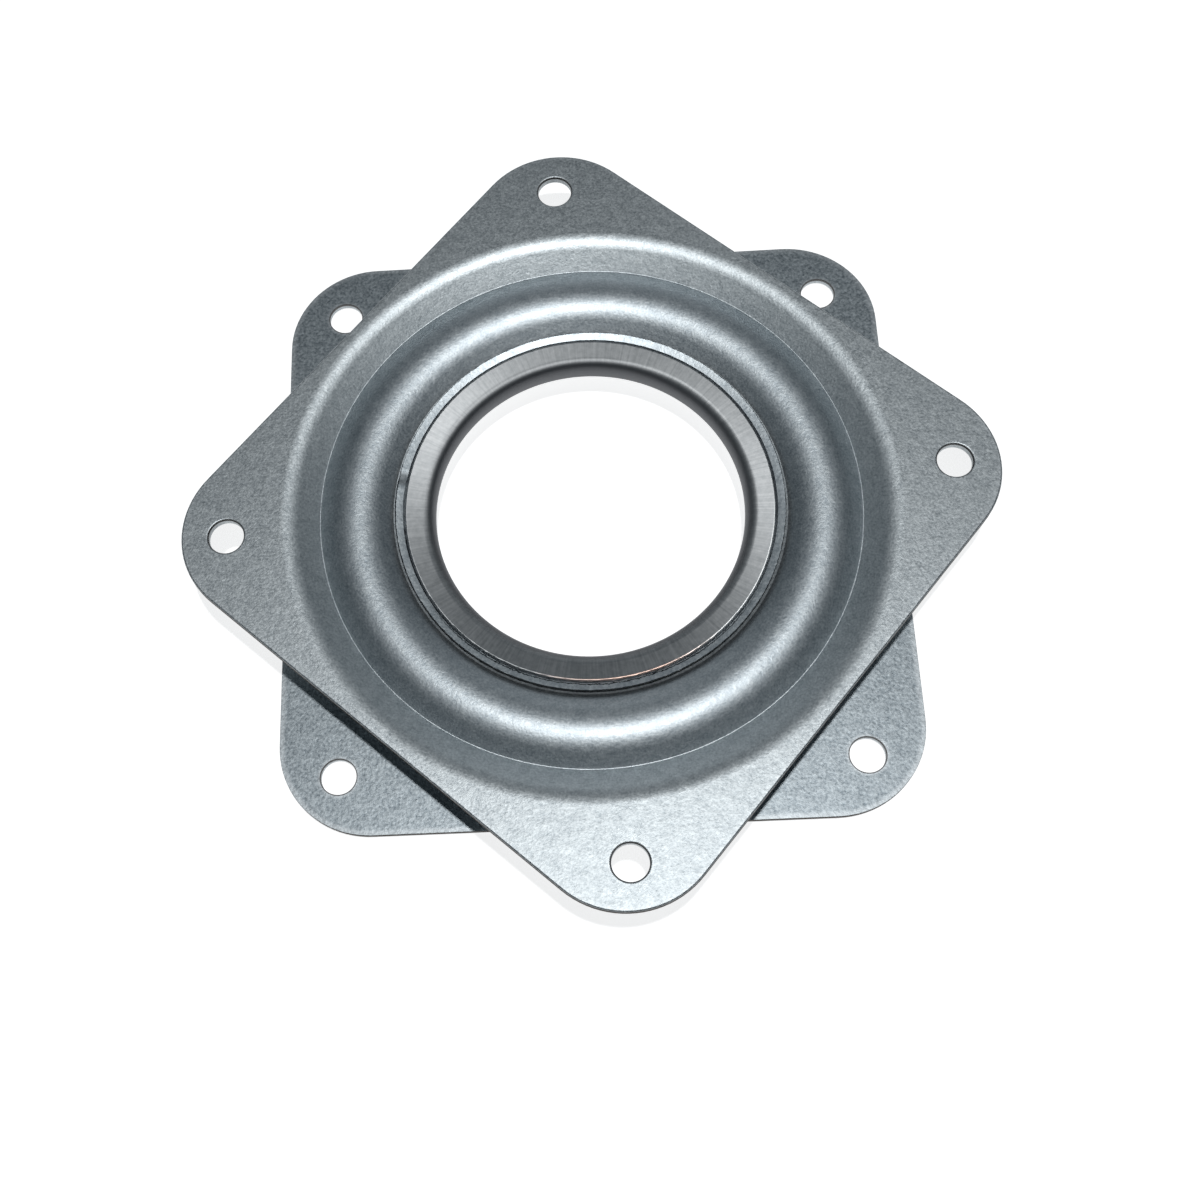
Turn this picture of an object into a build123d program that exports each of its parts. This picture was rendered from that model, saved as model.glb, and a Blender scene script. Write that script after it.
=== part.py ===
"""A turntable bearing of the kind that carries a lazy susan or a swivel seat.

Two square sheet plates are pressed with facing ball grooves, and loose balls run between them.
The lower plate's centre is drawn up into a neck and rolled out over the upper plate's inner
margin, which holds the two plates together and keeps the balls in.

Millimetres. The origin is on the turning axis, level with the underside of the lower plate,
and the lower plate's sides lie along X and Y.
"""

import os
from math import atan, cos, radians, tan

from build123d import *

os.makedirs("parts", exist_ok=True)

# Plates
plate_side = 75.0
corner_radius = 11.0
sheet = 1.0  # thickness of the galvanised steel
rest_turn = 48.5  # degrees that the upper plate stands turned on the lower one

# Screw holes, one in each corner of each plate
hole_inset = 7.0  # from two sides of the plate to the hole's centre
hole_diameter = 4.2

# Balls
ball_diameter = 5.56
ball_count = 12
ball_play = 0.04  # free play between a ball and each groove

# Ball groove, the same in both plates, described on the plate's outer face
rim_land = 1.93  # flat left at the middle of a side, out to the corner of the dished slope
crease_inset = 5.3  # from the side to the sharp line between the slope and the groove
outer_flank_width = 4.4  # from that crease to the ball circle
outer_flank_angle = 30.0
inner_flank_angle = 33.0
crown_radius = 5.6  # round back of the groove
crown_recess = 0.33  # the groove's back stays this far below the outer face
dish_bend = 4.2

# Neck of the lower plate, rolled outwards over the upper plate
neck_inset = 9.3  # from the ball circle to the narrowest opening
roll_inside_radius = 0.6
roll_rise = 0.35  # centre of the roll above mid height
lower_limb_angle = 13.0
upper_limb_angle = 17.0
flange_sheet = 0.7  # the neck is stretched thinner as it is drawn
flange_gap = 0.15  # from the flange's edge to the groove's flank below it
coin_width = 1.5  # ring pressed flatter along the flange's edge, outside a fine ridge
coin_angle = 10.0
coin_depth = 0.15

# Inner margin of the upper plate, trapped under the flange
margin_setback = 0.9  # from the centre of the roll to the margin's edge
margin_clearance = 0.15

# Circles about the turning axis
half_side = plate_side / 2
dish_radius = half_side - rim_land
crease_radius = half_side - crease_inset
race_radius = crease_radius - outer_flank_width
roll_radius = roll_inside_radius + sheet
roll_centre = race_radius - neck_inset + roll_radius
margin_radius = roll_centre + margin_setback

# Heights of outer faces above mid height
crown_height = ball_diameter / 2 + ball_play + sheet
face_height = crown_height + crown_recess
mid_height = face_height  # the lower plate's outer face is at zero

# A line of the section is its height on the turning axis and its rise for each millimetre outwards.


def rise(angle):
    return tan(radians(angle))


def flank(angle):
    """Flank of the groove, tangent to the round back."""
    height = crown_height - crown_radius + crown_radius / cos(radians(angle))
    return height - rise(angle) * race_radius, rise(angle)


def limb(angle, side):
    """Limb of the rolled neck, tangent to the roll above its centre (side 1) or below it (side -1)."""
    height = roll_rise + side * roll_radius / cos(radians(angle))
    return height - rise(angle) * roll_centre, rise(angle)


def lowered(line, distance):
    """The line moved down by a distance measured square to it."""
    return line[0] - distance / cos(atan(line[1])), line[1]


def turned_over(line):
    """The same line on the lower plate."""
    return -line[0], -line[1]


def point_on(line, radius):
    return radius, line[0] + line[1] * radius


def crossing(line_a, line_b):
    return point_on(line_a, (line_b[0] - line_a[0]) / (line_a[1] - line_b[1]))


def run_of(lines, start_radius, end_radius):
    """Corner points along one face of the sheet, from the flat of the plate inwards."""
    corners = [crossing(line_a, line_b) for line_a, line_b in zip(lines, lines[1:])]
    return [point_on(lines[0], start_radius)] + corners + [point_on(lines[-1], end_radius)]


def back_bends(face_bends):
    """Radii on the hollow side of the same bends."""
    return [max(bend - sheet, 0) for bend in face_bends]


# Groove, as lines of the upper plate's outer face from its flat inwards
outer_flank, inner_flank = flank(-outer_flank_angle), flank(inner_flank_angle)
crease = point_on(outer_flank, crease_radius)
dish_rise = (face_height - crease[1]) / (dish_radius - crease_radius)
dish = (face_height - dish_rise * dish_radius, dish_rise)
groove = [(face_height, 0), dish, outer_flank, inner_flank]
groove_bends = [0, dish_bend, 0, crown_radius]

# The pressed middle starts between the end of the dish's bend and the plate's side.
bend_end = dish_radius + dish_bend * tan(atan(dish_rise) / 2)
flat_radius = (bend_end + half_side) / 2

# Upper plate: its inner margin runs under the flange with the same slope.
upper_limb = limb(upper_limb_angle, 1)
margin = lowered(upper_limb, flange_sheet + margin_clearance)
upper_lines = groove + [margin]
upper_bends = groove_bends + [0, 0]
upper_face = run_of(upper_lines, flat_radius, margin_radius)
upper_back = run_of([lowered(line, sheet) for line in upper_lines], flat_radius, margin_radius)

# Lower plate: the groove turned over, the neck's lower limb and its upper limb, the flange.
flange_radius = crossing(margin, inner_flank)[0] - flange_gap
coin_radius = flange_radius - coin_width
coin_floor = point_on(upper_limb, coin_radius)[1] - coin_depth
lower_lines = [turned_over(line) for line in groove] + [limb(-lower_limb_angle, -1)]
lower_bends = groove_bends + [0, roll_radius, 0]
lower_face = run_of(lower_lines + [upper_limb], flat_radius, coin_radius)
coin_face = [(coin_radius, coin_floor), (flange_radius, coin_floor + rise(coin_angle) * coin_width)]
inside_lines = [lowered(line, -sheet) for line in lower_lines] + [lowered(upper_limb, flange_sheet)]
lower_back = run_of(inside_lines, flat_radius, flange_radius)


def sheet_section(face, face_radii, back, back_radii):
    """Closed section of the sheet between its two faces, set above the underside."""
    points = [(radius, mid_height + height) for radius, height in face + back[::-1]]
    FilletPolyline(points, radius=face_radii + back_radii[::-1], close=True)


def plate_flat():
    """Rounded square with a screw hole in each corner, open where the pressed middle goes."""
    RectangleRounded(plate_side, plate_side, corner_radius)
    Circle(flat_radius, mode=Mode.SUBTRACT)
    hole_spacing = plate_side - 2 * hole_inset
    with GridLocations(hole_spacing, hole_spacing, 2, 2):
        Circle(hole_diameter / 2, mode=Mode.SUBTRACT)


# Lower plate: blanked, pressed with the groove, its neck drawn up and rolled out
with BuildPart() as lower_plate:
    with BuildSketch():
        plate_flat()
    extrude(amount=sheet)
    with BuildSketch(Plane.XZ):
        with BuildLine():
            lower_radii = lower_bends + [0] * len(coin_face)
            sheet_section(lower_face + coin_face, lower_radii, lower_back, back_bends(lower_bends))
        make_face()
    revolve(axis=Axis.Z)

# Upper plate: the same blank and groove turned over, with a plain inner margin
with BuildPart() as upper_plate:
    with BuildSketch(Plane.XY.rotated((0, 0, rest_turn)).offset(mid_height + face_height - sheet)):
        plate_flat()
    extrude(amount=sheet)
    with BuildSketch(Plane.XZ):
        with BuildLine():
            sheet_section(upper_face, upper_bends, upper_back, back_bends(upper_bends))
        make_face()
    revolve(axis=Axis.Z)

# Balls, loose in the race between the two grooves
with BuildPart(Plane.XY.offset(mid_height)) as bearing_balls:
    with PolarLocations(race_radius, ball_count):
        Sphere(ball_diameter / 2)

for name, piece in {
    "lower_plate": lower_plate,
    "upper_plate": upper_plate,
    "bearing_balls": bearing_balls,
}.items():
    piece.part.label = name
    export_step(piece.part, f"parts/{name}.step")
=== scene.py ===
from math import cos, radians, sin, tan

import bmesh
import bpy
from mathutils import Matrix, Vector


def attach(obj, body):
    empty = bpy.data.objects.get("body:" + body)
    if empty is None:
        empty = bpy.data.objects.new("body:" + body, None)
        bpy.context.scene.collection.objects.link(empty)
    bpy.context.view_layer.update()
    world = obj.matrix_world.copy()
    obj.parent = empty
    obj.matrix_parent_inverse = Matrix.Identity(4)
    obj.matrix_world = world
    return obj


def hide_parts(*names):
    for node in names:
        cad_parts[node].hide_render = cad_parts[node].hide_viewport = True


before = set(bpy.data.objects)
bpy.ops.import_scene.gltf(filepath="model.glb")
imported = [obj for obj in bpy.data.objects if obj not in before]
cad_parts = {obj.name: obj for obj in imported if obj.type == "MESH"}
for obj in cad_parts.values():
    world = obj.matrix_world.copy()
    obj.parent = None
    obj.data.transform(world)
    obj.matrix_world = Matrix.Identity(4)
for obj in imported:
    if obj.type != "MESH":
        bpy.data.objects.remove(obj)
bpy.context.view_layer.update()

# Lower plate: a square of 1 mm sheet steel, zinc plated. It is blanked and punched, pressed with
# the ball groove, and its middle is drawn up into a neck that is rolled outwards over the upper
# plate. The flange's edge is then coined flatter, which leaves a fine ridge inside it.
mm = 0.001
plate_side = 75.0
corner_radius = 11.0
sheet = 1.0
hole_inset = 7.0
hole_diameter = 4.2
flat_radius = 37.11  # the pressed middle ends here, and the flat rim begins
drawn_rim = 40.0  # the rim as drawn in the section, before it is cut to the square
edge_roll = 0.26  # how far the blanking tool rounds the edge of the outer face
neck_top = 6.2  # of the lower plate, only the neck's limb and coined ring stand above this
step_radius = 22.07  # the coining step, between the fine ridge and the coined ring
ring_edge = 23.15  # the coined ring's outer edge
split_angle = radians(168.5)  # the place where the coined ring has split

# The section's corners from the rim inwards, as radius, height and bend radius.
lower_outer_face = [
    (drawn_rim, 0, 0.25), (35.57, 0, 4.2), (32.2, 2.004, 0.16), (27.628, -0.636, 5.6),
    (23.434, 2.088, 0.5), (18.5, 3.227, 1.6), (18.5, 6.239, 1.7), (21.96, 6.725, 0.2),
    (step_radius, 6.42, 0.04), (22.22, 6.575, 0.05), (ring_edge, 6.825, 0.03),
]
lower_inner_face = [
    (ring_edge, 6.373, 0.06), (17.199, 4.554, 0.6), (23.830, 3.023, 0.4), (27.659, 0.537, 4.6),
    (32.207, 3.163, 0.25), (35.845, 1, 3.2), (drawn_rim, 1, 0.05),
]


def bent_outline(corners):
    """Points of a closed outline with each corner rounded by its own radius."""
    outline = []
    for before, corner, after in zip(corners[-1:] + corners, corners, corners[1:] + corners[:1]):
        here = Vector(corner[:2])
        back, on = (Vector(before[:2]) - here).normalized(), (Vector(after[:2]) - here).normalized()
        half_angle = back.angle(on) / 2
        radius = corner[2]
        reach = radius / tan(half_angle)
        centre = here + (back + on).normalized() * radius / sin(half_angle)
        start, end = here + back * reach - centre, here + on * reach - centre
        sweep = start.angle_signed(end)
        steps = max(2, round(abs(sweep) / radians(6)))
        for step in range(steps + 1):
            outline.append(centre + Matrix.Rotation(-sweep * step / steps, 2) @ start)
    return outline


def section_object(name, corners):
    """The sheet's closed section as a loop of edges, radius along X and height along Y."""
    points = bent_outline(corners)
    mesh = bpy.data.meshes.new(name)
    edges = [(i, (i + 1) % len(points)) for i in range(len(points))]
    mesh.from_pydata([(p.x * mm, p.y * mm, 0) for p in points], edges, [])
    thing = bpy.data.objects.new(name, mesh)
    bpy.context.collection.objects.link(thing)
    return thing


def add(tree, kind, inputs=None, out=0, **settings):
    """Adds a node with its settings and links, and gives one of its outputs."""
    node = tree.nodes.new(kind)
    for key, value in settings.items():
        setattr(node, key, value)
    for key, value in (inputs or {}).items():
        if isinstance(value, bpy.types.NodeSocket):
            tree.links.new(value, node.inputs[key])
        else:
            node.inputs[key].default_value = value
    return node.outputs[out] if node.outputs else node


def pressed_sheet_tree():
    """Sweeps a section round the turning axis, cuts the rim to a rounded square and punches the holes."""
    tree = bpy.data.node_groups.new("pressed sheet", "GeometryNodeTree")
    tree.interface.new_socket("Geometry", in_out="INPUT", socket_type="NodeSocketGeometry")
    tree.interface.new_socket("Geometry", in_out="OUTPUT", socket_type="NodeSocketGeometry")
    sizes = {
        "Plate side": plate_side, "Corner radius": corner_radius, "Flat radius": flat_radius,
        "Drawn rim": drawn_rim, "Hole spacing": plate_side - 2 * hole_inset,
        "Hole diameter": hole_diameter, "Hole edge roll": edge_roll, "Sheet": sheet,
        "Outer face height": 0.0, "Tear depth": 0.0, "Split shift": 0.0, "Neck reach": 0.0,
        "Lean": 0.0, "Shoulder": 0.0,
    }
    for name, value in sizes.items():
        socket = tree.interface.new_socket(name, in_out="INPUT", socket_type="NodeSocketFloat")
        socket.default_value = value * mm
    for name, kind, value in (
        ("Steps round", "NodeSocketInt", 400), ("Turn", "NodeSocketFloat", 0.0),
        ("Outer side", "NodeSocketFloat", 1.0), ("Material", "NodeSocketMaterial", None),
        ("Neck material", "NodeSocketMaterial", None),
    ):
        socket = tree.interface.new_socket(name, in_out="INPUT", socket_type=kind)
        if value is not None:
            socket.default_value = value
    given = tree.nodes.new("NodeGroupInput").outputs
    math, vector, ramp = "ShaderNodeMath", "ShaderNodeVectorMath", "ShaderNodeMapRange"

    # Sweep the section round a circle.
    place = add(tree, "GeometryNodeInputPosition")
    path_radius = 0.030
    to_path = add(
        tree, vector, {0: place, 1: (1, -1, 0), 2: (-path_radius, 0, 0)}, operation="MULTIPLY_ADD",
    )
    profile = add(tree, "GeometryNodeSetPosition", {"Geometry": given["Geometry"], "Position": to_path})
    profile = add(tree, "GeometryNodeMeshToCurve", {"Mesh": profile})
    path = add(
        tree, "GeometryNodeCurvePrimitiveCircle",
        {"Resolution": given["Steps round"], "Radius": path_radius},
    )
    path = add(tree, "GeometryNodeSetCurveNormal", {"Curve": path}, mode="Z_UP")
    swept = add(tree, "GeometryNodeCurveToMesh", {"Curve": path, "Profile Curve": profile})

    # Cut the rim to the rounded square: the distance to its outline along each ray from the axis.
    level = add(tree, vector, {0: place, 1: (1, 1, 0)}, operation="MULTIPLY")
    radius = add(tree, vector, {0: level}, operation="LENGTH", out=1)
    outwards = add(tree, vector, {0: level}, operation="NORMALIZE")
    height = add(tree, "ShaderNodeSeparateXYZ", {0: place}, out=2)
    folded = add(tree, vector, {0: outwards}, operation="ABSOLUTE")
    along = add(tree, "ShaderNodeSeparateXYZ", {0: folded}, out=0)
    across = add(tree, "ShaderNodeSeparateXYZ", {0: folded}, out=1)
    longer = add(tree, math, {0: along, 1: across}, operation="MAXIMUM")
    shorter = add(tree, math, {0: along, 1: across}, operation="MINIMUM")
    inset = add(tree, math, {0: given["Drawn rim"], 1: radius}, operation="SUBTRACT")
    half_side = add(tree, math, {0: given["Plate side"], 1: 0.5}, operation="MULTIPLY")
    side_line = add(tree, math, {0: half_side, 1: inset}, operation="SUBTRACT")
    to_side = add(tree, math, {0: side_line, 1: longer}, operation="DIVIDE")
    arc_centre = add(tree, math, {0: half_side, 1: given["Corner radius"]}, operation="SUBTRACT")
    arc_radius = add(tree, math, {0: given["Corner radius"], 1: inset}, operation="SUBTRACT")
    apart = add(tree, math, {0: along, 1: across}, operation="SUBTRACT")
    off_diagonal = add(tree, math, {0: arc_centre, 1: apart}, operation="MULTIPLY")
    off_square = add(tree, math, {0: off_diagonal, 1: off_diagonal}, operation="MULTIPLY")
    arc_square = add(tree, math, {0: arc_radius, 1: arc_radius}, operation="MULTIPLY")
    chord_square = add(tree, math, {0: arc_square, 1: off_square}, operation="SUBTRACT")
    chord_square = add(tree, math, {0: chord_square, 1: 0.0}, operation="MAXIMUM")
    half_chord = add(tree, math, {0: chord_square}, operation="SQRT")
    spread = add(tree, math, {0: along, 1: across}, operation="ADD")
    to_arc = add(tree, math, {0: arc_centre, 1: spread, 2: half_chord}, operation="MULTIPLY_ADD")
    passed = add(tree, math, {0: to_side, 1: shorter}, operation="MULTIPLY")
    on_arc = add(tree, math, {0: passed, 1: arc_centre}, operation="GREATER_THAN")
    reach = add(
        tree, "GeometryNodeSwitch", {"Switch": on_arc, "False": to_side, "True": to_arc},
        input_type="FLOAT",
    )
    moved = add(tree, vector, {0: outwards, "Scale": reach}, operation="SCALE")
    upright = add(tree, "ShaderNodeCombineXYZ", {2: height})
    squared = add(tree, vector, {0: moved, 1: upright}, operation="ADD")
    rim_start = add(tree, math, {0: given["Flat radius"], 1: 0.5 * mm}, operation="ADD")
    is_rim = add(tree, math, {0: radius, 1: rim_start}, operation="GREATER_THAN")
    blank = add(
        tree, "GeometryNodeSetPosition", {"Geometry": swept, "Selection": is_rim, "Position": squared},
    )

    # Coining tears the metal a little along its step and along the edge, most of all at the front.
    wander = add(tree, "ShaderNodeTexNoise", {"Scale": 1 / (0.8 * mm), "Detail": 3.0, "Roughness": 0.7})
    wander = add(tree, math, {0: wander, 1: 0.5}, operation="SUBTRACT")
    high = add(tree, math, {0: height, 1: neck_top * mm}, operation="GREATER_THAN")
    tear_reach = 0.22 * mm
    at_step = add(
        tree, math, {0: radius, 1: (step_radius + 0.01) * mm, 2: tear_reach}, operation="COMPARE",
    )
    at_edge = add(tree, math, {0: radius, 1: ring_edge * mm, 2: tear_reach}, operation="COMPARE")
    torn = add(tree, math, {0: at_step, 1: at_edge}, operation="ADD")
    torn = add(tree, math, {0: torn, 1: high}, operation="MULTIPLY")
    forwards = add(tree, vector, {0: outwards, 1: (0, -1, 0)}, operation="DOT_PRODUCT", out=1)
    ragged = add(
        tree, ramp, {0: forwards, 1: 0.3, 2: 0.8, 3: 0.4, 4: 1.0}, interpolation_type="SMOOTHSTEP",
    )
    torn = add(tree, math, {0: torn, 1: ragged}, operation="MULTIPLY")
    torn = add(tree, math, {0: torn, 1: given["Tear depth"]}, operation="MULTIPLY")
    shift = add(tree, math, {0: torn, 1: wander}, operation="MULTIPLY")

    # The coined ring has split through at one place. It stands further out past the split, fading
    # out over the next 64 degrees, and is sunk a little at the split itself.
    at_split = (cos(split_angle), sin(split_angle), 0)
    past_split = (-sin(split_angle), cos(split_angle), 0)
    beside = add(tree, vector, {0: outwards, 1: at_split}, operation="DOT_PRODUCT", out=1)
    beyond = add(tree, vector, {0: outwards, 1: past_split}, operation="DOT_PRODUCT", out=1)
    in_ring = add(tree, math, {0: radius, 1: 22.18 * mm}, operation="GREATER_THAN")
    in_ring = add(tree, math, {0: in_ring, 1: high}, operation="MULTIPLY")
    on_neck_side = add(tree, math, {0: radius, 1: 23.8 * mm}, operation="LESS_THAN")
    in_ring = add(tree, math, {0: in_ring, 1: on_neck_side}, operation="MULTIPLY")
    near_split = add(tree, ramp, {0: beside, 1: cos(radians(2.4)), 2: cos(radians(0.9))})
    fading = add(tree, ramp, {0: beyond, 1: 0.02, 2: 0.9, 3: 1.0, 4: 0.0})
    behind = add(tree, math, {0: beyond, 1: 0.012}, operation="GREATER_THAN")
    fading = add(tree, math, {0: fading, 1: behind}, operation="MULTIPLY")
    same_half = add(tree, math, {0: beside, 1: 0.0}, operation="GREATER_THAN")
    fading = add(tree, math, {0: fading, 1: same_half}, operation="MULTIPLY")
    fading = add(tree, math, {0: fading, 1: in_ring}, operation="MULTIPLY")
    shift = add(tree, math, {0: fading, 1: given["Split shift"], 2: shift}, operation="MULTIPLY_ADD")
    sunk = add(tree, math, {0: near_split, 1: in_ring}, operation="MULTIPLY")
    above_back = add(tree, math, {0: height, 1: 6.5 * mm}, operation="GREATER_THAN")
    sunk = add(tree, math, {0: sunk, 1: above_back}, operation="MULTIPLY")
    sunk = add(tree, math, {0: sunk, 1: given["Split shift"]}, operation="MULTIPLY")
    split_sinking = -0.8  # for each millimetre that the ring is shifted
    sunk = add(tree, math, {0: sunk, 1: split_sinking}, operation="MULTIPLY")
    outward_shift = add(tree, vector, {0: outwards, "Scale": shift}, operation="SCALE")

    # The limb was rolled a little unevenly: it is flatter on the right and steeper on the left.
    flat_side = (cos(radians(20)), sin(radians(20)), 0)
    rightwards = add(tree, vector, {0: outwards, 1: flat_side}, operation="DOT_PRODUCT", out=1)
    leaning = add(tree, ramp, {0: radius, 1: 19.6 * mm, 2: 22.0 * mm, 3: 1.3, 4: -1.1})
    rolled_part = add(
        tree, ramp, {0: height, 1: 4.6 * mm, 2: neck_top * mm}, interpolation_type="SMOOTHSTEP",
    )
    before_step = add(tree, math, {0: radius, 1: 22.06 * mm}, operation="LESS_THAN")
    leaning = add(tree, math, {0: leaning, 1: rightwards}, operation="MULTIPLY")
    leaning = add(tree, math, {0: leaning, 1: rolled_part}, operation="MULTIPLY")
    leaning = add(tree, math, {0: leaning, 1: before_step}, operation="MULTIPLY")
    sunk = add(tree, math, {0: leaning, 1: given["Lean"], 2: sunk}, operation="MULTIPLY_ADD")
    # At the far left the roll is tighter, so the limb reaches further in.
    tight_side = (cos(radians(125)), sin(radians(125)), 0)
    leftwards = add(tree, vector, {0: outwards, 1: tight_side}, operation="DOT_PRODUCT", out=1)
    tighter = add(tree, ramp, {0: leftwards, 1: 0.2, 2: 0.8}, interpolation_type="SMOOTHSTEP")
    on_roll = add(tree, ramp, {0: radius, 1: 20.1 * mm, 2: 18.7 * mm}, interpolation_type="SMOOTHSTEP")
    tighter = add(tree, math, {0: tighter, 1: on_roll}, operation="MULTIPLY")
    tighter = add(tree, math, {0: tighter, 1: rolled_part}, operation="MULTIPLY")
    sunk = add(tree, math, {0: tighter, 1: given["Shoulder"], 2: sunk}, operation="MULTIPLY_ADD")
    sinking = add(tree, "ShaderNodeCombineXYZ", {2: sunk})
    torn_shift = add(tree, vector, {0: outward_shift, 1: sinking}, operation="ADD")
    blank = add(tree, "GeometryNodeSetPosition", {"Geometry": blank, "Offset": torn_shift})

    # Punch the screw holes. The punch is wider where it enters, by the roll of the hole's edge.
    hole_radius = add(tree, math, {0: given["Hole diameter"], 1: 0.5}, operation="MULTIPLY")
    punch_length = add(tree, math, {0: given["Sheet"], 1: 3.0}, operation="MULTIPLY")
    punch = add(tree, "GeometryNodeMeshCylinder", {
        "Vertices": 64, "Side Segments": 60, "Radius": hole_radius, "Depth": punch_length,
    })
    towards_face = add(
        tree, math, {0: height, 1: given["Outer side"], 2: given["Hole edge roll"]},
        operation="MULTIPLY_ADD",
    )
    into_roll = add(
        tree, math, {0: towards_face, 1: given["Hole edge roll"]}, operation="DIVIDE", use_clamp=True,
    )
    into_square = add(tree, math, {0: into_roll, 1: into_roll}, operation="MULTIPLY")
    left_over = add(tree, math, {0: 1.0, 1: into_square}, operation="SUBTRACT")
    left_over = add(tree, math, {0: left_over}, operation="SQRT")
    flare = add(tree, math, {0: 1.0, 1: left_over}, operation="SUBTRACT")
    flare = add(tree, math, {0: flare, 1: given["Hole edge roll"]}, operation="MULTIPLY")
    flare = add(tree, math, {0: flare, 1: hole_radius}, operation="DIVIDE")
    wider = add(tree, math, {0: flare, 1: 1.0}, operation="ADD")
    flared = add(tree, vector, {0: level, "Scale": wider}, operation="SCALE")
    lifted = add(tree, math, {0: height, 1: given["Outer face height"]}, operation="ADD")
    lifted = add(tree, "ShaderNodeCombineXYZ", {2: lifted})
    flared = add(tree, vector, {0: flared, 1: lifted}, operation="ADD")
    punch = add(tree, "GeometryNodeSetPosition", {"Geometry": punch, "Position": flared})
    corners = add(tree, "GeometryNodeMeshGrid", {
        "Size X": given["Hole spacing"], "Size Y": given["Hole spacing"], "Vertices X": 2, "Vertices Y": 2,
    })
    punches = add(tree, "GeometryNodeInstanceOnPoints", {"Points": corners, "Instance": punch})
    punches = add(tree, "GeometryNodeRealizeInstances", {"Geometry": punches})
    punched = add(
        tree, "GeometryNodeMeshBoolean", {"Mesh 1": blank, "Mesh 2": punches}, operation="DIFFERENCE",
        solver="EXACT",
    )
    turned = add(tree, "ShaderNodeCombineXYZ", {2: given["Turn"]})
    placed = add(tree, "GeometryNodeTransform", {"Geometry": punched, "Rotation": turned})
    whole = add(tree, "GeometryNodeRealizeInstances", {"Geometry": placed})
    whole = add(tree, "GeometryNodeSetMaterial", {"Geometry": whole, "Material": given["Material"]})
    in_neck = add(tree, math, {0: radius, 1: given["Neck reach"]}, operation="LESS_THAN")
    whole = add(
        tree, "GeometryNodeSetMaterial",
        {"Geometry": whole, "Selection": in_neck, "Material": given["Neck material"]},
    )
    add(tree, "NodeGroupOutput", {0: whole})
    return tree


def made_by(tree, source, name, sharp_angle, **sizes):
    """Runs a tree on an object and keeps the result as a plain mesh at the origin."""
    modifier = source.modifiers.new(name, "NODES")
    modifier.node_group = tree
    sockets = {item.name: item.identifier for item in tree.interface.items_tree if item.in_out == "INPUT"}
    for label, value in sizes.items():
        modifier[sockets[label.replace("_", " ")]] = value
    shaped = source.evaluated_get(bpy.context.evaluated_depsgraph_get())
    mesh = bpy.data.meshes.new_from_object(shaped)
    bpy.data.objects.remove(source)
    shell = bmesh.new()
    shell.from_mesh(mesh)
    bmesh.ops.remove_doubles(shell, verts=shell.verts, dist=1e-7)
    bmesh.ops.recalc_face_normals(shell, faces=shell.faces)
    if shell.calc_volume(signed=True) < 0:
        bmesh.ops.reverse_faces(shell, faces=shell.faces)
    shell.to_mesh(mesh)
    shell.free()
    mesh.shade_smooth()
    mesh.set_sharp_from_angle(angle=radians(sharp_angle))
    piece = bpy.data.objects.new(name, mesh)
    bpy.context.collection.objects.link(piece)
    # The large flats keep level normals up to their rounded edges.
    weighting = piece.modifiers.new("flats first", "WEIGHTED_NORMAL")
    weighting.keep_sharp = True
    weighted = bpy.data.meshes.new_from_object(piece.evaluated_get(bpy.context.evaluated_depsgraph_get()))
    piece.modifiers.clear()
    piece.data = weighted
    return piece


def linear(hex_colour):
    """Colour of an sRGB hex value."""
    parts = [int(hex_colour[i:i + 2], 16) / 255 for i in (1, 3, 5)]
    return [p / 12.92 if p <= 0.04045 else ((p + 0.055) / 1.055) ** 2.4 for p in parts] + [1.0]


def metal(name):
    """A new metal material, its node tree and its shader."""
    material = bpy.data.materials.new(name)
    material.use_nodes = True
    shader = material.node_tree.nodes["Principled BSDF"]
    shader.inputs["Metallic"].default_value = 1.0
    return material, material.node_tree, shader


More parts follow.
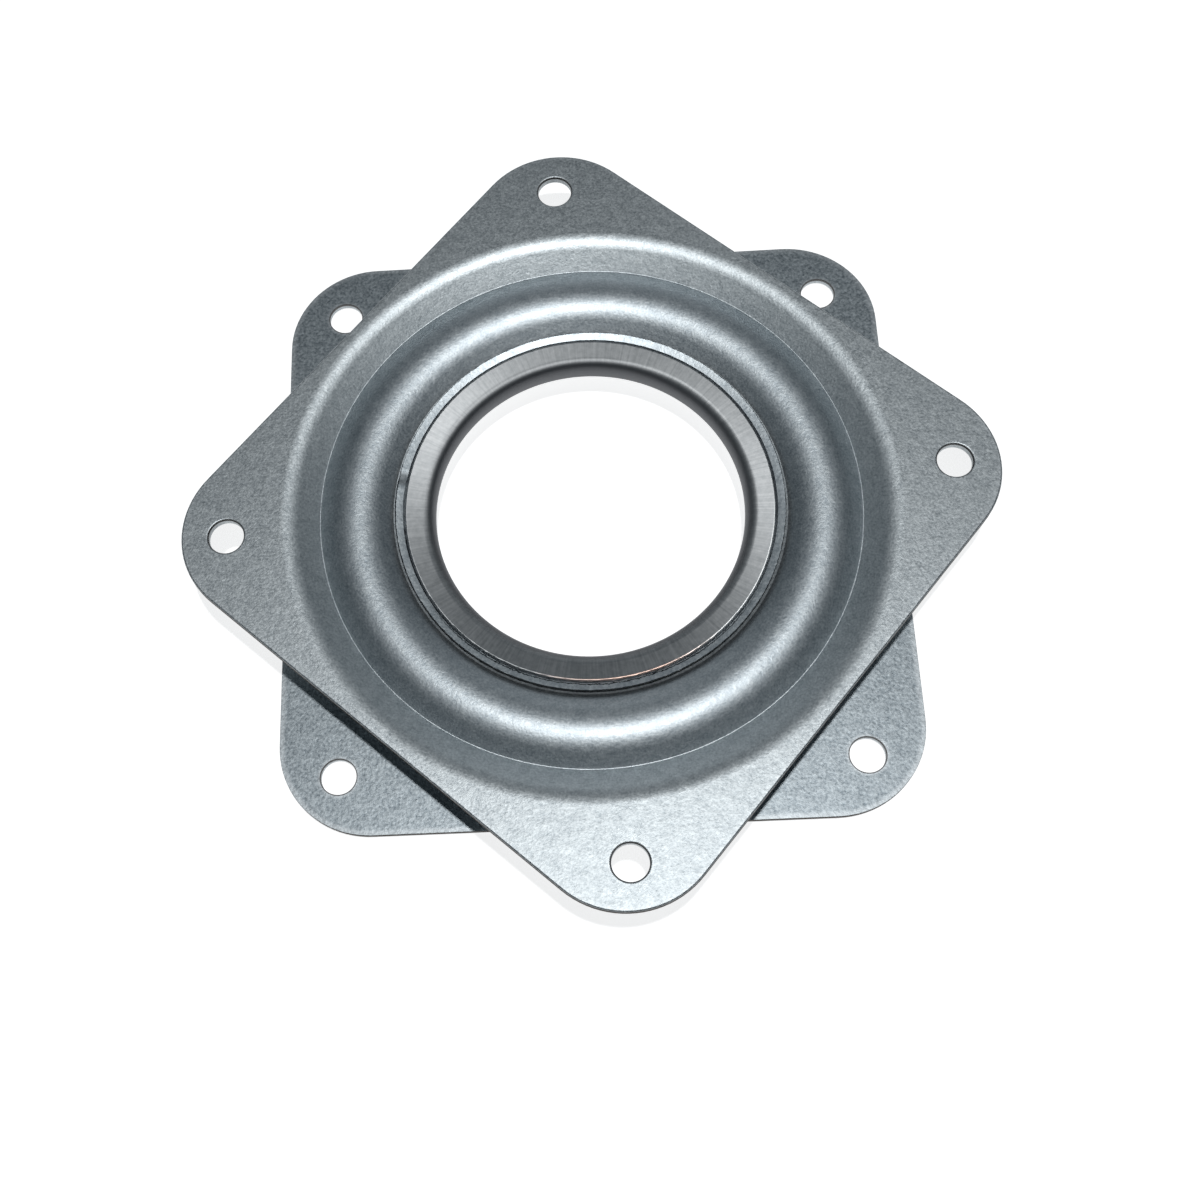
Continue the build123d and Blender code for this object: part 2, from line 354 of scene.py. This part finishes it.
def satin_zinc(name, grain_size, flat_contrast, pressed_contrast, flat_tones, edge_gleam, top, turn=0.0):
    """Electroplated zinc on cold-rolled sheet: bluish grey, satin, finely grained. The die burnishes
    the pressed middle, and the corners stay duller. Top is the height of the flats' upper side."""
    material, tree, shader = metal(name)
    math, vector, mix = "ShaderNodeMath", "ShaderNodeVectorMath", "ShaderNodeMix"
    ramp, noise, bump = "ShaderNodeMapRange", "ShaderNodeTexNoise", "ShaderNodeBump"
    place = add(tree, "ShaderNodeTexCoord", out=3)
    level = add(tree, vector, {0: place, 1: (1, 1, 0)}, operation="MULTIPLY")
    radius = add(tree, vector, {0: level}, operation="LENGTH", out=1)

    # Fine grains and a cloudier mottle of 1.2 mm, as on a matt zinc bath.
    grain = add(
        tree, noise,
        {"Vector": place, "Scale": 1 / (grain_size * mm), "Detail": 3.0, "Roughness": 0.7},
    )
    mottle = add(
        tree, noise, {"Vector": place, "Scale": 1 / (1.2 * mm), "Detail": 3.0, "Roughness": 0.55},
    )
    dull = add(tree, ramp, {0: radius, 1: 34.6 * mm, 2: 36.8 * mm}, interpolation_type="SMOOTHSTEP")
    contrast = add(tree, ramp, {0: dull, 3: pressed_contrast, 4: flat_contrast})
    speckle = add(tree, math, {0: grain, 1: 0.5}, operation="SUBTRACT")
    clouded = add(tree, math, {0: mottle, 1: 0.55, 2: 0.225}, operation="MULTIPLY_ADD")
    tone = add(
        tree, math, {0: speckle, 1: contrast, 2: clouded}, operation="MULTIPLY_ADD", use_clamp=True,
    )
    in_groove = add(
        tree, mix, {0: tone, 6: linear("#89949c"), 7: linear("#d9dfe1")}, out=2, data_type="RGBA",
    )
    in_dish = add(
        tree, mix, {0: tone, 6: linear("#9aa4a9"), 7: linear("#eaf0f2")}, out=2, data_type="RGBA",
    )
    outside_crease = add(tree, ramp, {0: radius, 1: 31.8 * mm, 2: 32.5 * mm})
    burnished = add(tree, mix, {0: outside_crease, 6: in_groove, 7: in_dish}, out=2, data_type="RGBA")
    matt = add(
        tree, mix, {0: tone, 6: linear(flat_tones[0]), 7: linear(flat_tones[1])}, out=2,
        data_type="RGBA",
    )
    colour = add(tree, mix, {0: dull, 6: burnished, 7: matt}, out=2, data_type="RGBA")
    rough = add(tree, math, {0: grain, 1: 0.12, 2: 0.41}, operation="MULTIPLY_ADD")

    # Along the front of the coined ring the zinc is torn in a second ragged line beside the step.
    # A thin ragged dark line also follows the ring's edge all round: its ragged edge, with painted shade
    # of the gap beneath it. The split is dark.
    wander = add(tree, noise, {"Vector": place, "Scale": 1 / (0.5 * mm), "Detail": 3.0, "Roughness": 0.7})
    tear_radius = add(tree, math, {0: wander, 1: 0.5 * mm, 2: 22.12 * mm}, operation="MULTIPLY_ADD")
    tears_and_gap_shade = add(tree, math, {0: radius, 1: tear_radius, 2: 0.06 * mm}, operation="COMPARE")
    height = add(tree, "ShaderNodeSeparateXYZ", {0: place}, out=2)
    on_ring = add(tree, math, {0: height, 1: (neck_top + 0.1) * mm}, operation="GREATER_THAN")
    outwards = add(tree, vector, {0: level}, operation="NORMALIZE")
    frontwards = add(tree, vector, {0: outwards, 1: (0, -1, 0)}, operation="DOT_PRODUCT", out=1)
    at_front = add(tree, ramp, {0: frontwards, 1: 0.45, 2: 0.75})
    tears_and_gap_shade = add(tree, math, {0: tears_and_gap_shade, 1: at_front}, operation="MULTIPLY")
    # Painted shade: the dark line at the ring's edge stands for the shadow in the gap under it.
    edge_radius = add(tree, math, {0: wander, 1: 0.20 * mm, 2: 23.05 * mm}, operation="MULTIPLY_ADD")
    edge_line = add(tree, math, {0: radius, 1: edge_radius, 2: 0.07 * mm}, operation="COMPARE")
    tears_and_gap_shade = add(tree, math, {0: tears_and_gap_shade, 1: edge_line}, operation="MAXIMUM")
    at_split = (cos(split_angle), sin(split_angle), 0)
    split = add(tree, vector, {0: outwards, 1: at_split}, operation="DOT_PRODUCT", out=1)
    split = add(tree, ramp, {0: split, 1: cos(radians(2.6)), 2: cos(radians(1.0)), 4: 0.65})
    over_ring = add(tree, math, {0: radius, 1: 22.7 * mm, 2: 0.6 * mm}, operation="COMPARE")
    split = add(tree, math, {0: split, 1: over_ring}, operation="MULTIPLY")
    tears_and_gap_shade = add(tree, math, {0: tears_and_gap_shade, 1: split}, operation="MAXIMUM")
    tears_and_gap_shade = add(tree, math, {0: tears_and_gap_shade, 1: on_ring}, operation="MULTIPLY")
    colour = add(tree, mix, {0: tears_and_gap_shade, 6: colour, 7: linear("#33383c")}, out=2, data_type="RGBA")

    # Along the outline and round the holes the colour is brighter: zinc built up there, and a painted
    # highlight of the rounded edges.
    squared = add(
        tree, "ShaderNodeVectorRotate", {"Vector": level, "Angle": -turn}, rotation_type="Z_AXIS",
    )
    squared = add(tree, vector, {0: squared}, operation="ABSOLUTE")
    arc_place = (plate_side / 2 - corner_radius) * mm
    past_arc = add(tree, vector, {0: squared, 1: (arc_place, arc_place, 0)}, operation="SUBTRACT")
    past_arc = add(tree, vector, {0: past_arc, 1: (0, 0, 0)}, operation="MAXIMUM")
    from_arc = add(tree, vector, {0: past_arc}, operation="LENGTH", out=1)
    by_rim = add(
        tree, ramp, {0: from_arc, 1: (corner_radius - 0.70) * mm, 2: (corner_radius - 0.35) * mm},
    )
    hole_place = (plate_side / 2 - hole_inset) * mm
    from_hole = add(
        tree, vector, {0: squared, 1: (hole_place, hole_place, 0)}, operation="DISTANCE", out=1,
    )
    hole_reach = hole_diameter / 2 + 0.16
    by_hole = add(tree, ramp, {0: from_hole, 1: (hole_reach + 0.35) * mm, 2: hole_reach * mm})
    buildup_and_highlight = add(tree, math, {0: by_rim, 1: by_hole}, operation="MAXIMUM")
    buildup_and_highlight = add(tree, math, {0: buildup_and_highlight, 1: edge_gleam}, operation="MULTIPLY")
    colour = add(tree, mix, {0: buildup_and_highlight, 6: colour, 7: linear("#dfe3e5")}, out=2, data_type="RGBA")

    # The blanked outline and the flange's edge have no zinc: bare steel, matt and brownish, painted darker
    # still as painted shade, the flange's edge darkest of all. In the holes only the upper rim is bare,
    # painted as a dark line of painted shade.
    facing = add(tree, "ShaderNodeNewGeometry", out=1)
    upright = add(tree, "ShaderNodeSeparateXYZ", {0: facing}, out=2)
    upright = add(tree, math, {0: upright}, operation="ABSOLUTE")
    beyond_pressing = add(tree, math, {0: radius, 1: 37.2 * mm}, operation="GREATER_THAN")
    on_flange_edge = add(tree, math, {0: radius, 1: 23.2 * mm, 2: 0.3 * mm}, operation="COMPARE")
    on_flange_edge = add(tree, math, {0: on_flange_edge, 1: on_ring}, operation="MULTIPLY")
    is_edge = add(tree, math, {0: beyond_pressing, 1: on_flange_edge}, operation="MAXIMUM")
    bare_and_shade = add(tree, ramp, {0: upright, 1: 0.15, 2: 0.7, 3: 1.0, 4: 0.0})
    bare_and_shade = add(tree, math, {0: bare_and_shade, 1: is_edge}, operation="MULTIPLY")
    hole_line = add(tree, ramp, {0: from_hole, 1: hole_reach * mm, 2: (hole_reach - 0.10) * mm, 4: 0.8})
    near_top = add(tree, math, {0: height, 1: (top - 0.3) * mm}, operation="GREATER_THAN")
    hole_line = add(tree, math, {0: hole_line, 1: near_top}, operation="MULTIPLY")
    clear_of_hole = add(tree, math, {0: from_hole, 1: (hole_reach + 0.4) * mm}, operation="GREATER_THAN")
    bare_and_shade = add(tree, math, {0: bare_and_shade, 1: clear_of_hole, 2: hole_line}, operation="MULTIPLY_ADD")
    bare_steel_and_shade = add(
        tree, mix, {0: on_flange_edge, 6: linear("#453e3a"), 7: linear("#26292b")}, out=2,
        data_type="RGBA",
    )
    colour = add(tree, mix, {0: bare_and_shade, 6: colour, 7: bare_steel_and_shade}, out=2, data_type="RGBA")
    rough = add(tree, math, {0: bare_and_shade, 1: 0.2, 2: rough}, operation="MULTIPLY_ADD")

    # Pressing leaves an orange peel of 0.45 mm over the grain, and the flats are faintly wavy.
    peel = add(tree, noise, {"Vector": place, "Scale": 1 / (0.45 * mm), "Detail": 2.0, "Roughness": 0.5})
    wave_bump = add(tree, bump, {"Strength": 1.0, "Distance": 0.02 * mm, "Height": mottle})
    peel_bump = add(
        tree, bump, {"Strength": 1.0, "Distance": 0.012 * mm, "Height": peel, "Normal": wave_bump},
    )
    grain_bump = add(
        tree, bump, {"Strength": 1.0, "Distance": 0.018 * mm, "Height": grain, "Normal": peel_bump},
    )
    tree.links.new(colour, shader.inputs["Base Color"])
    tree.links.new(rough, shader.inputs["Roughness"])
    tree.links.new(grain_bump, shader.inputs["Normal"])
    return material


def drawn_zinc(name):
    """The same zinc drawn over a punch: streaked up the wall and out along the limb, so that its
    gloss spreads round the neck. The roll is painted darker, as painted shade."""
    material, tree, shader = metal(name)
    shader.inputs["Anisotropic"].default_value = 0.52
    math, vector, mix = "ShaderNodeMath", "ShaderNodeVectorMath", "ShaderNodeMix"
    ramp, noise = "ShaderNodeMapRange", "ShaderNodeTexNoise"
    place = add(tree, "ShaderNodeTexCoord", out=3)
    level = add(tree, vector, {0: place, 1: (1, 1, 0)}, operation="MULTIPLY")
    radius = add(tree, vector, {0: level}, operation="LENGTH", out=1)

    # Streaks about 0.25 mm apart run square to the opening. Their noise follows the direction from
    # the axis, so its scale is the radius at the limb's middle over the width of a streak.
    limb_middle = 20.5
    streak_width = 0.25
    outwards = add(tree, vector, {0: level}, operation="NORMALIZE")
    slowly = add(tree, vector, {0: place, 1: (0, 0, 8.0)}, operation="MULTIPLY")
    along_streak = add(tree, vector, {0: outwards, 1: slowly}, operation="ADD")
    streak = add(tree, noise, {
        "Vector": along_streak, "Scale": limb_middle / streak_width, "Detail": 3.0, "Roughness": 0.6,
    })
    cloud = add(tree, noise, {"Vector": place, "Scale": 1 / (0.6 * mm), "Detail": 3.0, "Roughness": 0.6})
    tone = add(tree, math, {0: streak, 1: 0.9, 2: -0.3}, operation="MULTIPLY_ADD")
    tone = add(tree, math, {0: cloud, 1: 0.7, 2: tone}, operation="MULTIPLY_ADD", use_clamp=True)
    limb_tone = add(
        tree, mix, {0: tone, 6: linear("#888c8e"), 7: linear("#c8cacb")}, out=2, data_type="RGBA",
    )
    # Painted shade: the roll inside the limb is painted darker than the limb.
    on_limb = add(tree, ramp, {0: radius, 1: 18.9 * mm, 2: 19.6 * mm}, interpolation_type="SMOOTHSTEP")
    colour = add(tree, mix, {0: on_limb, 6: linear("#75777a"), 7: limb_tone}, out=2, data_type="RGBA")
    height = add(tree, "ShaderNodeSeparateXYZ", {0: place}, out=2)
    above = add(tree, math, {0: height, 1: neck_top * mm}, operation="GREATER_THAN")
    # Painted shade: the coining step, a small groove, is painted darker.
    in_step = add(tree, ramp, {0: radius, 1: 22.01 * mm, 2: 22.05 * mm})
    in_step = add(tree, math, {0: in_step, 1: above}, operation="MULTIPLY")
    colour = add(tree, mix, {0: in_step, 6: colour, 7: linear("#6a7075")}, out=2, data_type="RGBA")
    # Painted highlight: the ridge beside the step is painted bright at the front right, and coppery at the
    # front.
    ridge_highlight = add(tree, math, {0: radius, 1: 21.89 * mm, 2: 0.13 * mm}, operation="COMPARE")
    ridge_highlight = add(tree, math, {0: ridge_highlight, 1: above}, operation="MULTIPLY")
    front_right = add(tree, vector, {0: outwards, 1: (0.6, -0.8, 0)}, operation="DOT_PRODUCT", out=1)
    front_right = add(tree, ramp, {0: front_right, 1: 0.55, 2: 0.85})
    ridge_highlight = add(tree, math, {0: ridge_highlight, 1: front_right}, operation="MULTIPLY")
    coppery = add(tree, "ShaderNodeSeparateXYZ", {0: outwards}, out=0)
    coppery = add(tree, ramp, {0: coppery, 1: 0.65, 2: 0.35})
    ridge_highlight_tone = add(
        tree, mix, {0: coppery, 6: linear("#f2f4f4"), 7: linear("#f4d6c8")}, out=2, data_type="RGBA",
    )
    colour = add(tree, mix, {0: ridge_highlight, 6: colour, 7: ridge_highlight_tone}, out=2, data_type="RGBA")
    near_roll = add(tree, ramp, {0: radius, 1: 18.9 * mm, 2: 20.2 * mm}, interpolation_type="SMOOTHSTEP")
    rough = add(tree, ramp, {0: near_roll, 3: 0.64, 4: 0.46})
    rough = add(tree, math, {0: tone, 1: 0.06, 2: rough}, operation="MULTIPLY_ADD")
    around = add(tree, "ShaderNodeTangent", direction_type="RADIAL", axis="Z")
    streak_bump = add(tree, "ShaderNodeBump", {"Strength": 1.0, "Distance": 0.008 * mm, "Height": streak})
    tree.links.new(colour, shader.inputs["Base Color"])
    tree.links.new(rough, shader.inputs["Roughness"])
    tree.links.new(around, shader.inputs["Tangent"])
    tree.links.new(streak_bump, shader.inputs["Normal"])
    return material


pressed_sheet = pressed_sheet_tree()
lower_zinc = satin_zinc(
    "satin zinc, coarse inner side", grain_size=0.36, flat_contrast=2.4, pressed_contrast=1.4,
    flat_tones=("#687177", "#aeb6ba"), edge_gleam=0.27, top=sheet,
)
lower_plate = made_by(
    pressed_sheet, section_object("lower section", lower_outer_face + lower_inner_face),
    "lower_plate_sheet", 30, Outer_face_height=0.0, Outer_side=-1.0, Tear_depth=0.25 * mm,
    Split_shift=0.08 * mm, Neck_reach=22.19 * mm, Lean=0.08 * mm, Shoulder=0.2 * mm,
    Material=lower_zinc, Neck_material=drawn_zinc("drawn zinc neck"),
)
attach(lower_plate, "lower_plate")
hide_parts("lower_plate")

# Upper plate: the same blank and groove turned over, of the same zinc-plated sheet. Its plain
# inner margin lies under the rolled flange, and it stands turned on the lower plate.
rest_turn = 48.5
upper_face = 8.3  # height of its outer face
upper_back = 7.3  # height of its inner face
upper_outer_face = [
    (drawn_rim, upper_face, 0.25), (35.57, upper_face, 4.2), (32.2, 6.296, 0.16),
    (27.628, 8.936, 5.6), (23.45, 6.221, 0.3), (21.0, 5.472, 0.08),
]
upper_inner_face = [
    (21.0, 4.426, 0.08), (23.873, 5.304, 0.3), (27.659, 7.763, 4.6),
    (32.207, 5.137, 0.25), (35.845, upper_back, 3.2), (drawn_rim, upper_back, 0.05),
]
upper_zinc = satin_zinc(
    "satin zinc, fine outer side", grain_size=0.28, flat_contrast=1.7, pressed_contrast=1.4,
    flat_tones=("#788085", "#ccd2d4"), edge_gleam=0.10, top=upper_face, turn=radians(rest_turn),
)
upper_plate = made_by(
    pressed_sheet, section_object("upper section", upper_outer_face + upper_inner_face),
    "upper_plate_sheet", 30, Outer_face_height=upper_face * mm, Outer_side=1.0,
    Turn=radians(rest_turn), Material=upper_zinc,
)
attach(upper_plate, "upper_plate")
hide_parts("upper_plate")

# Balls: twelve loose balls of hardened and polished bearing steel, run in the race between the
# two grooves. They show only from the side, through the gap between the plates.
ball_diameter = 5.56
ball_count = 12
race_radius = 27.8
race_height = 4.15


def ball_ring_tree():
    """Places a ball at each point of the ball circle."""
    tree = bpy.data.node_groups.new("ball ring", "GeometryNodeTree")
    tree.interface.new_socket("Geometry", in_out="INPUT", socket_type="NodeSocketGeometry")
    tree.interface.new_socket("Geometry", in_out="OUTPUT", socket_type="NodeSocketGeometry")
    for name, kind, value in (
        ("Ball diameter", "NodeSocketFloat", ball_diameter * mm),
        ("Race radius", "NodeSocketFloat", race_radius * mm),
        ("Race height", "NodeSocketFloat", race_height * mm),
        ("Ball count", "NodeSocketInt", ball_count),
    ):
        socket = tree.interface.new_socket(name, in_out="INPUT", socket_type=kind)
        socket.default_value = value
    tree.interface.new_socket("Material", in_out="INPUT", socket_type="NodeSocketMaterial")
    given = tree.nodes.new("NodeGroupInput").outputs
    ring = add(
        tree, "GeometryNodeMeshCircle",
        {"Vertices": given["Ball count"], "Radius": given["Race radius"]},
    )
    lift = add(tree, "ShaderNodeCombineXYZ", {2: given["Race height"]})
    ring = add(tree, "GeometryNodeSetPosition", {"Geometry": ring, "Offset": lift})
    half = add(tree, "ShaderNodeMath", {0: given["Ball diameter"], 1: 0.5}, operation="MULTIPLY")
    ball = add(tree, "GeometryNodeMeshUVSphere", {"Segments": 48, "Rings": 24, "Radius": half})
    balls = add(tree, "GeometryNodeInstanceOnPoints", {"Points": ring, "Instance": ball})
    balls = add(tree, "GeometryNodeRealizeInstances", {"Geometry": balls})
    balls = add(tree, "GeometryNodeSetMaterial", {"Geometry": balls, "Material": given["Material"]})
    add(tree, "NodeGroupOutput", {0: balls})
    return tree


def polished_steel(name):
    """Through-hardened ball steel, ground and lapped: clear reflections, a faint film of oil."""
    material, tree, shader = metal(name)
    place = add(tree, "ShaderNodeTexCoord", out=3)
    film = add(tree, "ShaderNodeTexNoise", {"Vector": place, "Scale": 1 / (2.5 * mm), "Detail": 2.0})
    tone = add(
        tree, "ShaderNodeMix", {0: film, 6: linear("#b4b5b4"), 7: linear("#d2d3d4")}, out=2,
        data_type="RGBA",
    )
    rough = add(tree, "ShaderNodeMapRange", {0: film, 1: 0.3, 2: 0.7, 3: 0.10, 4: 0.20})
    tree.links.new(tone, shader.inputs["Base Color"])
    tree.links.new(rough, shader.inputs["Roughness"])
    return material


seed_mesh = bpy.data.objects.new("ball seed", bpy.data.meshes.new("ball seed"))
bpy.context.collection.objects.link(seed_mesh)
balls = made_by(
    ball_ring_tree(), seed_mesh, "bearing_ball_ring", 180,
    Material=polished_steel("lapped ball steel"),
)
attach(balls, "ball_ring")
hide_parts("bearing_balls")

# Floor: a matt white table. It shows white to the camera and in the metal, and takes the shadow.
floor_mesh = bpy.data.meshes.new("floor")
floor_half = 2.0
floor_level = -0.00005  # a hair below the lower plate, so that no faces meet
floor_signs = ((-1, -1), (1, -1), (1, 1), (-1, 1))
floor_corners = [(x * floor_half, y * floor_half, floor_level) for x, y in floor_signs]
floor_mesh.from_pydata(floor_corners, [], [(0, 1, 2, 3)])
floor = bpy.data.objects.new("floor", floor_mesh)
bpy.context.collection.objects.link(floor)
white_table = bpy.data.materials.new("matt white table")
white_table.use_nodes = True
table_tree = white_table.node_tree
table_tree.nodes.clear()
ray = table_tree.nodes.new("ShaderNodeLightPath")
seen = add(
    table_tree, "ShaderNodeMath", {0: ray.outputs["Is Camera Ray"], 1: ray.outputs["Is Glossy Ray"]},
    operation="MAXIMUM",
)
seen = add(
    table_tree, "ShaderNodeMath", {0: seen, 1: ray.outputs["Is Transmission Ray"]},
    operation="MAXIMUM",
)
own_white = add(table_tree, "ShaderNodeMath", {0: seen, 1: 0.80}, operation="MULTIPLY")
glow = add(table_tree, "ShaderNodeEmission", {"Color": (1, 1, 1, 1), "Strength": own_white})
matt = add(table_tree, "ShaderNodeBsdfDiffuse", {"Color": linear("#c8c8c8")})
both = add(table_tree, "ShaderNodeAddShader", {0: glow, 1: matt})
add(table_tree, "ShaderNodeOutputMaterial", {"Surface": both})
floor_mesh.materials.append(white_table)

# Light: one round soft lamp almost overhead, and a dim grey room with a lighter far wall.
lamp_data = bpy.data.lights.new("overhead softbox", "AREA")
lamp_data.shape = "DISK"
lamp_data.size = 0.04
lamp_data.energy = 3.15
lamp = bpy.data.objects.new("overhead softbox", lamp_data)
lamp.location = (0.040, -0.004, 0.842)
bpy.context.collection.objects.link(lamp)
room = bpy.data.worlds.new("grey room")
room.use_nodes = True
room_tree = room.node_tree
towards = add(room_tree, "ShaderNodeTexCoord", out=0)
backwards = add(room_tree, "ShaderNodeSeparateXYZ", {0: towards}, out=1)
back_share = add(
    room_tree, "ShaderNodeMapRange", {0: backwards, 1: 0.78, 2: 0.96}, interpolation_type="SMOOTHSTEP",
)
room_tone = add(
    room_tree, "ShaderNodeMix", {0: back_share, 6: linear("#3f484e"), 7: linear("#c1c6ca")}, out=2,
    data_type="RGBA",
)
room_tree.links.new(room_tone, room_tree.nodes["Background"].inputs["Color"])
bpy.context.scene.world = room
bpy.context.scene.view_settings.view_transform = "Standard"

# Camera: high in front of the part, where the photograph was taken from.
camera_data = bpy.data.cameras.new("camera")
camera_data.sensor_width = 36
camera_data.lens = 44.4435
camera_data.shift_x = 0.04825
camera_data.shift_y = 0.00825
camera_data.clip_start = 0.01
camera = bpy.data.objects.new("camera", camera_data)
camera_place = Vector((0, -72.147, 167.571)) * mm
camera_aim = Vector((-5.989, -13.716, upper_face)) * mm
camera_roll = -8.131
camera.rotation_mode = "QUATERNION"
camera.location = camera_place
camera_turn = Matrix.Rotation(radians(camera_roll), 3, "Z").to_quaternion()
camera.rotation_quaternion = (camera_aim - camera_place).to_track_quat("-Z", "Y") @ camera_turn
bpy.context.collection.objects.link(camera)
bpy.context.scene.camera = camera
